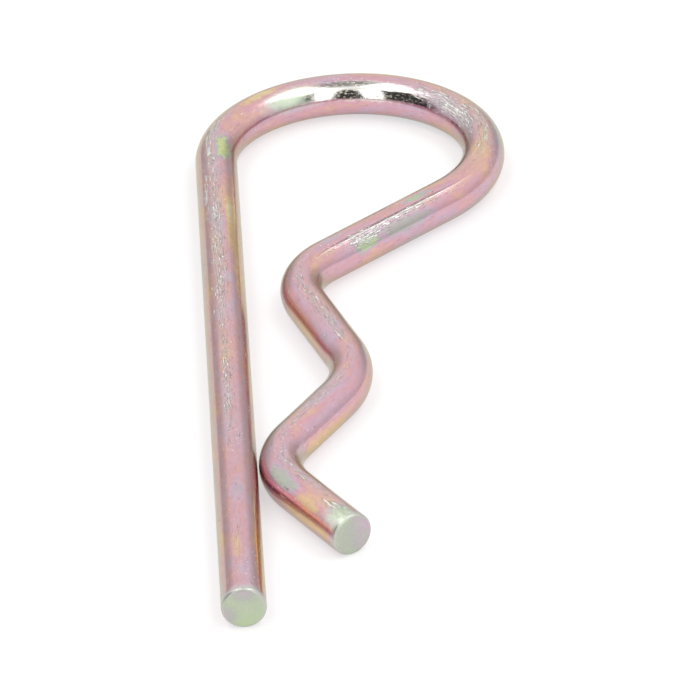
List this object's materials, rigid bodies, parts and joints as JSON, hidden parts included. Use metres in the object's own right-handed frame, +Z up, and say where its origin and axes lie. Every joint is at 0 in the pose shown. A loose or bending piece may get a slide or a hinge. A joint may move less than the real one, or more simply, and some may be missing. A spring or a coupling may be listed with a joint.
{
  "type": "hitch r clip pin",
  "caption": "Spring-wire clip with a straight leg for a cross-hole, a round loop, and a wavy leg that snaps round the shaft.",
  "frame": {"origin": "middle of the clip's footprint, on the surface it lies on", "axes": "+Y along the straight leg, from its cut end towards the loop; +X from the straight leg towards the wavy leg; +Z up, out of the plane the wire is bent in"},
  "size_m": [0.0292, 0.094, 0.004],
  "materials": {
    "plated_wire": "zinc plate with an iridescent yellow chromate, pink to straw and green, over drawn spring-steel wire"
  },
  "bodies": {
    "root": {"r_clip": "plated_wire"}
  },
  "joints": []
}
